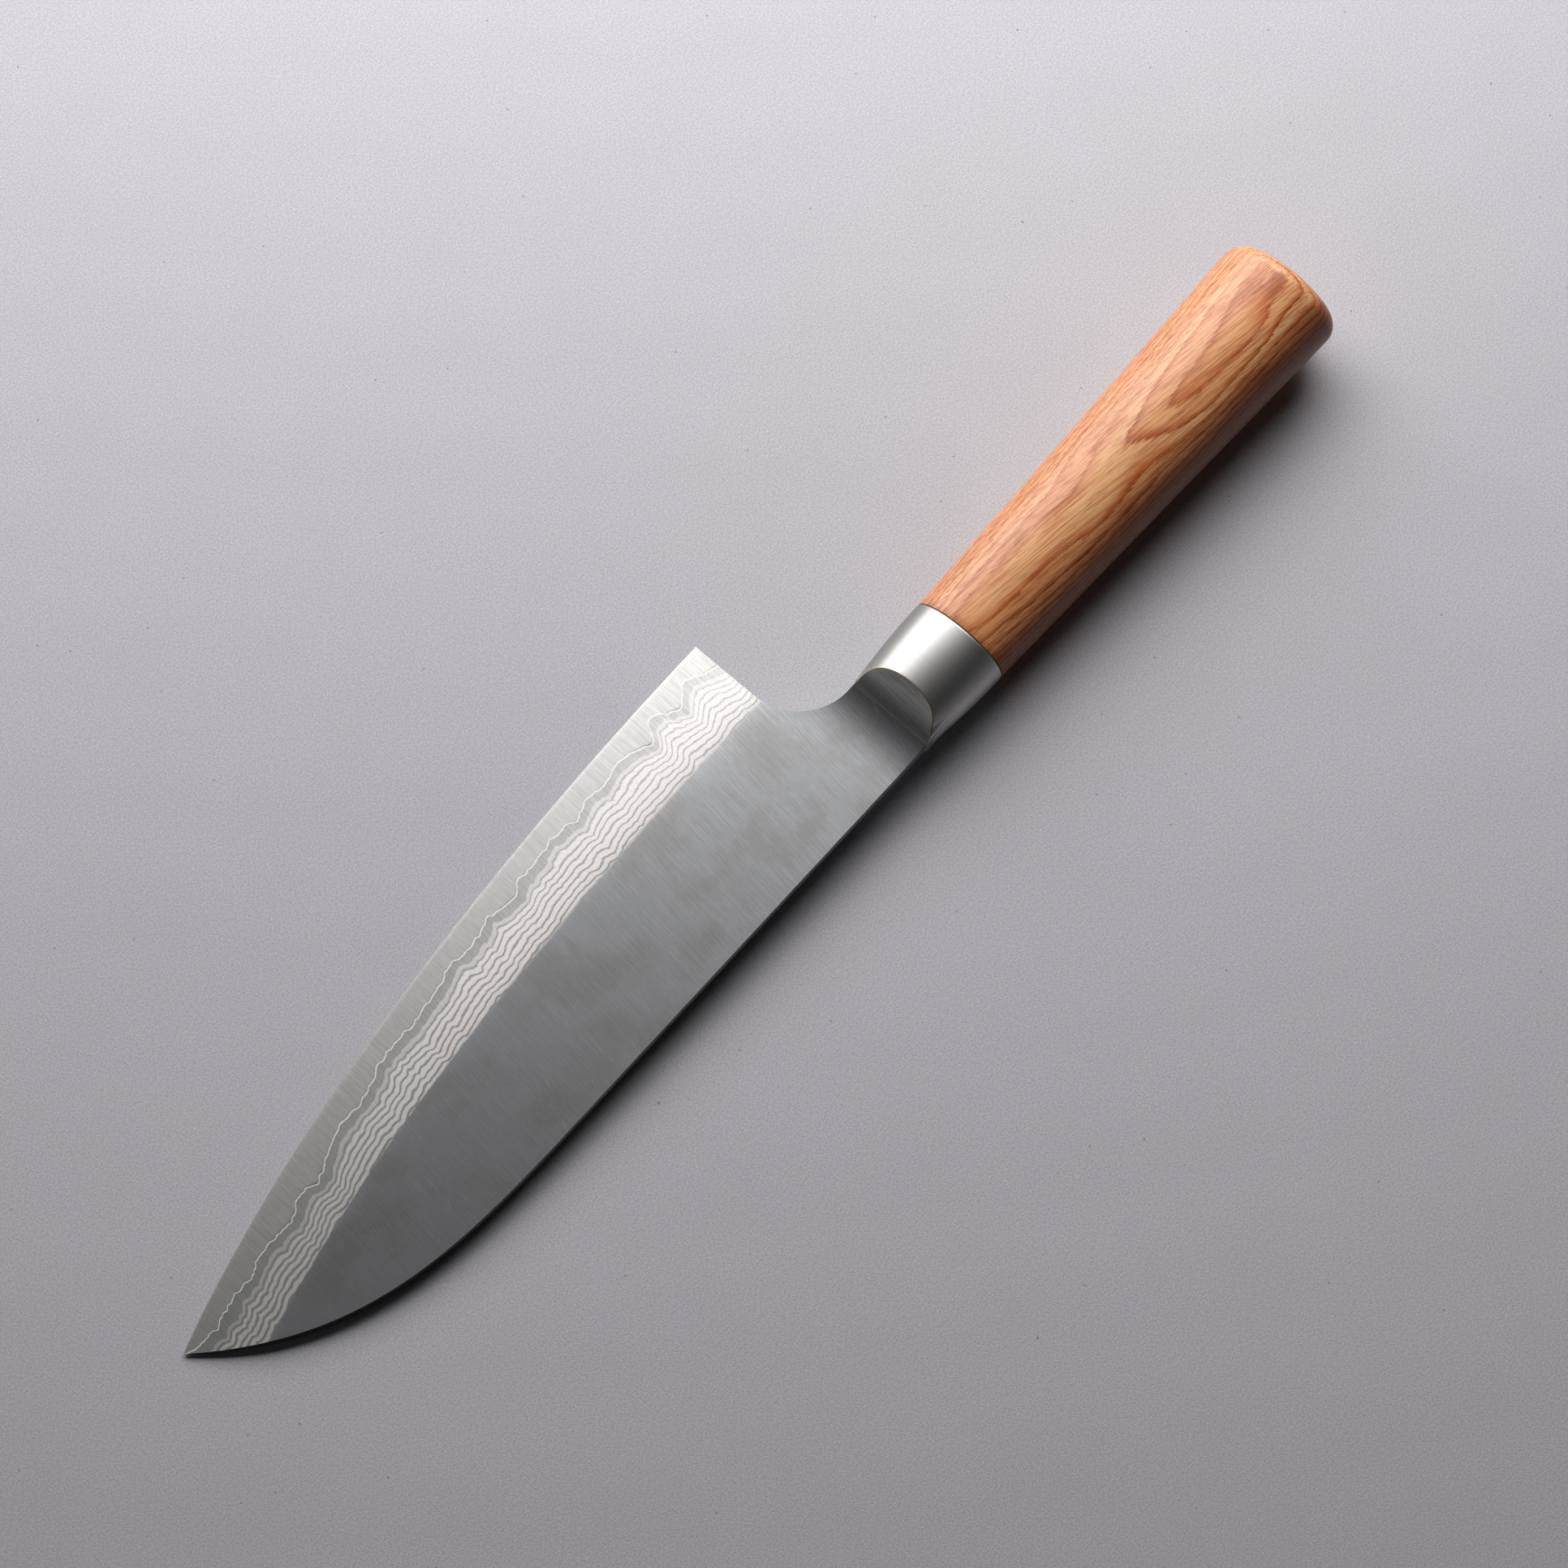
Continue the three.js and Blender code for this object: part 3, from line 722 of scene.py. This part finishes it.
def add_blade(grid, shares):
    """Rows from the edge up to the spine, for all that lies in front of the choil."""
    at_heel = CORE_LINE[0][1]
    spread = np.linspace(0, 1, BLADE_COLUMNS + 1)
    spread = spread + TIP_CROWDING * spread * (1 - spread) * spread
    for j, left_y in enumerate(row_heights(shares)):
        left_x = choil_side(left_y)
        xs = left_x + (TIP_X - TIP_BLUNT - left_x) * spread
        line = core_line(xs)
        edge = edge_y(xs)
        if j < EDGE_ROWS:
            ys = edge + line * j / EDGE_ROWS
        else:
            # The lower rows follow the wavy line, and the upper ones run smoothly
            share = (left_y - HEEL_Y - at_heel) / (SPINE_Y - HEEL_Y - at_heel)
            tall = spine_y(xs) - edge
            calm = np.minimum(at_heel, CALM_SHARE * tall)
            reach = np.clip(WAVE_REACH - tall / WAVE_HEIGHT, WAVE_LEAST, 1)
            waves = (line - calm) * np.maximum(0, 1 - share / reach) ** 2
            ys = edge + calm + share * (tall - calm) + waves
        for i in range(BLADE_COLUMNS + 1):
            grid.add(i, j, xs[i], ys[i])


def add_neck(grid, base, shares):
    """The neck, from above the choil's middle back to the shoulders inside the bolster."""
    foot_x = SCOOP_FOOT - FOOT_LAP
    inside = np.linspace(foot_x, SHOULDER_X, NECK_COLUMNS)[1:]
    xs = np.concatenate([[SCOOP_FOOT + FOOT_LEAD, foot_x], inside])
    for i, x in enumerate(xs, 1):
        low = choil_top(x)
        if x < SCOOP_FOOT:
            low = max(-neck_side(x), low + NECK_INSET)
        high = max(SPINE_Y, neck_side(x)) if x < BOLSTER_LENGTH else SPINE_Y
        if x == SHOULDER_X:
            low, high = -neck_side(x), neck_side(x)
        for k, share in enumerate(shares):
            grid.add(-i, base + k, x, low + (high - low) * share)
    return len(xs)


def add_stub(grid, base, shares, neck_columns):
    """The stub tang, on the neck's rows between its own two sides."""
    inner = [k for k, s in enumerate(shares) if abs(s - 0.5) <= 0.5 - stub_share() + TINY]
    for i, x in enumerate(np.linspace(SHOULDER_X, STUB_X, STUB_COLUMNS)[1:], neck_columns + 1):
        for k in inner:
            share = (shares[k] - stub_share()) / (1 - 2 * stub_share())
            grid.add(-i, base + k, x, STUB_HALF * (2 * share - 1))


def blade_grid():
    """The plan of the whole blank, from the tip back to the end of the stub tang."""
    grid = Grid()
    even = np.linspace(0, 1, NECK_ROWS)[1:]
    shares = np.sort(np.concatenate([even, [stub_share(), 1 - stub_share()]]))
    add_blade(grid, shares)
    base = EDGE_ROWS + STEEP_ROWS + ARC_ROWS - 2
    shares = np.concatenate([[0], shares])
    neck_columns = add_neck(grid, base, shares)
    add_stub(grid, base, shares, neck_columns)
    return grid


def slab(points, cells, high, low):
    """A closed solid over the plan's cells, between two heights at each point."""
    used = sorted({v for cell in cells for v in cell})
    new = {v: i for i, v in enumerate(used)}
    count = len(used)
    plan = points[used]
    top = np.column_stack([plan, high[used]])
    bottom = np.column_stack([plan, low[used]])
    faces = [[new[v] for v in cell] for cell in cells]
    sides = {(f[k], f[(k + 1) % 4]) for f in faces for k in range(4)}
    walls = [[b, a, a + count, b + count] for a, b in sides if (b, a) not in sides]
    under = [[v + count for v in reversed(f)] for f in faces]
    return np.vstack([top, bottom]), faces + under + walls, used


def make_core(points, cells, top, values):
    solid, faces, used = slab(points, [cell for cell, _ in cells], top, -top)
    both = {key: np.tile(v[used], 2) for key, v in values.items()}
    make_piece("core_plate", solid, faces, core_steel(), "blade_core", both, BLADE_SHARP)


def make_cladding(points, cells, top, bottom, values):
    """The outer plate of the right face, and its mirror image on the left."""
    clad = clad_steel()
    above_line = [cell for cell, j in cells if j >= EDGE_ROWS]
    solid, faces, used = slab(points, above_line, top, bottom)
    both = {key: np.tile(v[used], 2) for key, v in values.items()}
    mirrored = [face[::-1] for face in faces]
    right, left = ("clad_plate_right", "cladding_right"), ("clad_plate_left", "cladding_left")
    make_piece(right[0], solid, faces, clad, right[1], both, BLADE_SHARP)
    make_piece(left[0], solid * (1, 1, -1), mirrored, clad, left[1], both, BLADE_SHARP)


def make_blade():
    grid = blade_grid()
    points, cells = np.array(grid.points), grid.cells()
    x, y = points.T
    line = core_line(x)
    rise = y - edge_y(x)
    half = half_thickness(x, rise)
    # The core keeps the bevel's surface up to its bright line, and dips under the cladding there
    at_line = half_thickness(x, line)
    over = np.clip((rise - line) / CORE_DIP, 0, 1)
    inner = np.minimum(at_line + (CORE_HALF - at_line) * over, half - FEATHER)
    core_top = np.where(np.array(grid.rows) <= EDGE_ROWS, half, inner)
    # The layers' waves follow the bright line and calm down towards the flat
    calm = np.exp(-np.maximum(0, rise - line) / LAYER_CALM)
    layer = (rise - LAYER_LEVEL) - (line - LAYER_LEVEL) * calm
    values = {"rise": rise, "line": line, "layer": layer, "bevel": bevel_width(x)}
    make_core(points, cells, core_top, values)
    make_cladding(points, cells, half, np.minimum(core_top, half - FEATHER), values)


# Bolster and handle


def oval(x, half_width, half_thickness, sides, drop=0.0):
    angle = np.arange(sides) * 2 * math.pi / sides
    ys = half_width * np.cos(angle) - drop
    return np.column_stack([np.full(sides, x), ys, half_thickness * np.sin(angle)])


def skin(rings):
    """Quads between rings that run from low X to high X, closed at both ends by a fan."""
    sides = len(rings[0])
    points = np.vstack(rings + [rings[0].mean(0)[None], rings[-1].mean(0)[None]])
    faces = []
    for r in range(len(rings) - 1):
        for k in range(sides):
            a, b = r * sides + k, r * sides + (k + 1) % sides
            faces.append([a, b, b + sides, a + sides])
    first, last = len(points) - 2, len(points) - 1
    base = (len(rings) - 1) * sides
    for k in range(sides):
        after = (k + 1) % sides
        faces.append([first, after, k])
        faces.append([last, base + k, base + after])
    return points, faces


def soft_min(a, b, softness):
    """The smaller of two heights, with a small round where they cross."""
    return (a + b - np.sqrt((a - b) ** 2 + softness**2)) / 2


def bolster_outline(x):
    """The bolster's ring before the scoop, which narrows by the square of the way to its nose."""
    share = (x / BOLSTER_LENGTH) ** 2
    width = JOINT_HALF_WIDTH + (NOSE_HALF_WIDTH - JOINT_HALF_WIDTH) * min(share, 1)
    thick = JOINT_HALF_THICKNESS + (NOSE_HALF_THICKNESS - JOINT_HALF_THICKNESS) * share
    if x <= BACK_EASE:
        width, thick = width - BACK_EASE, thick - BACK_EASE
    if x > BOLSTER_LENGTH:
        width = NOSE_HALF_WIDTH - NOSE_EASE
    return oval(x, width, thick, BOLSTER_SIDES)


def bolster_stations():
    """Places of the bolster's rings, which lie close together along the scoop."""
    start = SCOOP_FOOT - SCOOP_RADIUS
    barrel = np.linspace(0.4, start - 0.3, BARREL_RINGS)
    scoop = np.linspace(start - 0.2, SCOOP_FOOT, SCOOP_RINGS)
    return np.concatenate([[BACK_EASE, BACK_ROUND], barrel, scoop])


def scoop_floor(into):
    """Height of the scoop over the middle plane, by the way back from its foot."""
    if into >= SCOOP_RADIUS:
        return NECK_HALF + SCOOP_RADIUS + 3 * (into - SCOOP_RADIUS)
    swell = NECK_SWELL * (1 + into * SWELL_POWER / (NECK_SWELL_X - SCOOP_FOOT))
    dip = FOOT_DIP * max(0, 1 - into / FOOT_DIP_RUN)
    return NECK_HALF + FOOT_LIFT + swell - dip + SCOOP_RADIUS - math.sqrt(SCOOP_RADIUS**2 - into**2)


def run_into_spine(ring, x):
    """Draws the ring's round side out to the spine's corners, where the blade leaves the bolster."""
    reach = np.clip((x - FILLET_X) / FILLET_RUN, 0, 1)
    near = np.clip((NECK_HALF + NECK_SWELL + FILLET_TOP - np.abs(ring[:, 2])) / FILLET_HEIGHT, 0, 1)
    lift = (SPINE_Y + NOSE_EASE - ring[:, 1]) * reach * near**2 * (3 - 2 * near)
    ring[:, 1] += np.where(ring[:, 1] > 0, np.maximum(lift, 0), 0)


def make_bolster():
    fillet_width = SPIGOT_HALF_WIDTH + SPIGOT_FILLET
    fillet_thick = SPIGOT_HALF_THICKNESS + SPIGOT_FILLET
    rings = [
        oval(-SPIGOT_LENGTH, SPIGOT_HALF_WIDTH, SPIGOT_HALF_THICKNESS, BOLSTER_SIDES),
        oval(-SPIGOT_FILLET, SPIGOT_HALF_WIDTH, SPIGOT_HALF_THICKNESS, BOLSTER_SIDES),
        oval(0, fillet_width, fillet_thick, BOLSTER_SIDES),
        oval(0, JOINT_HALF_WIDTH - BACK_ROUND, JOINT_HALF_THICKNESS - BACK_ROUND, BOLSTER_SIDES),
    ]
    rims = [np.zeros(BOLSTER_SIDES) for _ in rings]
    scoops = [np.zeros(BOLSTER_SIDES) for _ in rings]
    for x in bolster_stations():
        ring = bolster_outline(x)
        into = SCOOP_FOOT - x
        floor = scoop_floor(into)
        tall = np.abs(ring[:, 2])
        rims.append(np.exp(-(((tall - floor) / RIM_WIDTH) ** 2)) * (into < SCOOP_RADIUS + 0.25))
        depth = SCOOP_FADE + (1 - SCOOP_FADE) * np.clip(into / SCOOP_FADE_RUN, 0, 1)
        scoops.append(np.clip((tall - floor) / SCOOP_BORDER, 0, 1) * depth)
        cut = np.minimum(tall, soft_min(tall, floor, RIM_SOFTNESS))
        ring[:, 2] = np.sign(ring[:, 2]) * np.maximum(cut, 0)
        if abs(x - CHOIL_X) < CHOIL_RADIUS:
            ring[:, 1] = np.maximum(ring[:, 1], choil_top(x))
        run_into_spine(ring, x)
        rings.append(ring)
    points, faces = skin(rings)
    hubs = [np.zeros(2)]
    values = {"rim": np.concatenate(rims + hubs), "scoop": np.concatenate(scoops + hubs)}
    steel = bolster_steel()
    make_piece("bolster_body", points, faces, steel, "bolster", values, BODY_SHARP)


def handle_ring(back, inset, shrink=1.0):
    """The handle's oval at a way back from the joint, flaring evenly up to the butt's rim."""
    rim_start = HANDLE_LENGTH - CROWN - RIM_RADIUS
    flare = (min(back, rim_start) - HANDLE_FRONT) / (rim_start - HANDLE_FRONT)
    width = JOINT_HALF_WIDTH + (BUTT_HALF_WIDTH - JOINT_HALF_WIDTH) * flare - inset
    thick = JOINT_HALF_THICKNESS + (BUTT_HALF_THICKNESS - JOINT_HALF_THICKNESS) * flare - inset
    return oval(-back, width * shrink, thick * shrink, HANDLE_SIDES, BUTT_DROP * flare)


def bore_rings():
    """The counterbore for the spigot and the bore for the tang, from the front inwards."""
    wall_width = SPIGOT_HALF_WIDTH + SLEEVE
    wall_thick = SPIGOT_HALF_THICKNESS + SLEEVE
    depth = SPIGOT_LENGTH + HANDLE_FRONT + BORE_STEP
    return [
        oval(-HANDLE_FRONT, wall_width, wall_thick, HANDLE_SIDES),
        oval(-depth, wall_width, wall_thick, HANDLE_SIDES),
        oval(-depth, BORE_HALF_WIDTH, BORE_HALF_THICKNESS, HANDLE_SIDES),
        oval(-BORE_DEPTH, BORE_HALF_WIDTH, BORE_HALF_THICKNESS, HANDLE_SIDES),
    ]


def make_handle():
    rim_start = HANDLE_LENGTH - CROWN - RIM_RADIUS
    rings = []
    for share in CROWN_SHARES:
        rings.append(handle_ring(rim_start + RIM_RADIUS + CROWN * (1 - share**2), RIM_RADIUS, share))
    for angle in np.linspace(math.pi / 2, 0, RIM_RINGS):
        back = rim_start + RIM_RADIUS * math.sin(angle)
        rings.append(handle_ring(back, RIM_RADIUS * (1 - math.cos(angle))))
    for back in np.linspace(rim_start, HANDLE_FRONT + FRONT_EASE, SHAFT_RINGS)[1:]:
        rings.append(handle_ring(back, 0))
    rings.append(handle_ring(HANDLE_FRONT + FRONT_ROUND, FRONT_ROUND))
    rings.append(handle_ring(HANDLE_FRONT, FRONT_EASE))
    points, faces = skin(rings + bore_rings())
    wood = laminated_wood()
    make_piece("handle_wood", points, faces, wood, "handle_block", {}, BODY_SHARP)


# Stage


def direction(azimuth, elevation):
    """From the target towards a place at an azimuth and elevation, as the camera's own are given."""
    a, e = math.radians(azimuth), math.radians(elevation)
    return Vector((math.sin(a) * math.cos(e), -math.cos(a) * math.cos(e), math.sin(e)))


def add_camera():
    data = bpy.data.cameras.new("camera")
    data.sensor_width = SENSOR_MM
    data.lens = FOCAL_PX * SENSOR_MM / PHOTO_WIDTH_PX
    data.clip_start = CLIP_START
    camera = bpy.data.objects.new("camera", data)
    bpy.context.scene.collection.objects.link(camera)
    away = direction(CAMERA_AZIMUTH, CAMERA_ELEVATION)
    camera.location = CAMERA_TARGET + away * CAMERA_DISTANCE
    camera.rotation_euler = away.to_track_quat("Z", "Y").to_euler()
    bpy.context.scene.camera = camera


def studio_world():
    """A dark room for the light, whose pale walls show in gloss alone."""
    world = bpy.data.worlds.new("studio")
    world.use_nodes = True
    nodes, links = world.node_tree.nodes, world.node_tree.links
    split = nodes.new("ShaderNodeSeparateXYZ")
    links.new(nodes.new("ShaderNodeTexCoord").outputs["Generated"], split.inputs[0])
    walls = nodes.new("ShaderNodeMapRange")
    walls.interpolation_type = "SMOOTHSTEP"
    links.new(split.outputs["Z"], walls.inputs["Value"])
    walls.inputs["From Min"].default_value = HORIZON_TOP
    walls.inputs["From Max"].default_value = HORIZON_FULL
    walls.inputs["To Min"].default_value = WORLD_LEVEL
    walls.inputs["To Max"].default_value = HORIZON_LEVEL
    level = nodes.new("ShaderNodeMix")
    links.new(nodes.new("ShaderNodeLightPath").outputs["Is Glossy Ray"], level.inputs["Factor"])
    level.inputs["A"].default_value = WORLD_LEVEL
    links.new(walls.outputs["Result"], level.inputs["B"])
    background = nodes["Background"]
    background.inputs["Color"].default_value = WORLD_TINT
    links.new(level.outputs["Result"], background.inputs["Strength"])
    return world


def add_stage():
    mesh = bpy.data.meshes.new("floor")
    corners = [(x * FLOOR_REACH, y * FLOOR_REACH, 0) for x, y in ((-1, -1), (1, -1), (1, 1), (-1, 1))]
    mesh.from_pydata(corners, [], [(0, 1, 2, 3)])
    mesh.materials.append(paper())
    floor = bpy.data.objects.new("floor", mesh)
    bpy.context.scene.collection.objects.link(floor)

    lamp = bpy.data.lights.new("softbox", "AREA")
    lamp.shape = "RECTANGLE"
    lamp.size = LAMP_WIDTH
    lamp.size_y = LAMP_HEIGHT
    lamp.energy = LAMP_POWER
    lamp.color = LAMP_TINT
    softbox = bpy.data.objects.new("softbox", lamp)
    bpy.context.scene.collection.objects.link(softbox)
    away = direction(CAMERA_AZIMUTH + 180 + LAMP_TURN, LAMP_ELEVATION)
    softbox.location = CAMERA_TARGET + away * LAMP_DISTANCE
    softbox.rotation_euler = away.to_track_quat("Z", "Y").to_euler()

    bpy.context.scene.world = studio_world()
    bpy.context.scene.view_settings.view_transform = "Standard"


def dress_inner_pieces():
    """The bar and the resin keep their CAD shapes and get finishes of their own."""
    for node, finish in (("tang_bar", tang_steel()), ("resin_bedding", set_resin())):
        mesh = frame["nodes"][node].data
        mesh.materials.clear()
        mesh.materials.append(finish)


add_camera()
add_stage()
make_blade()
make_bolster()
make_handle()
dress_inner_pieces()
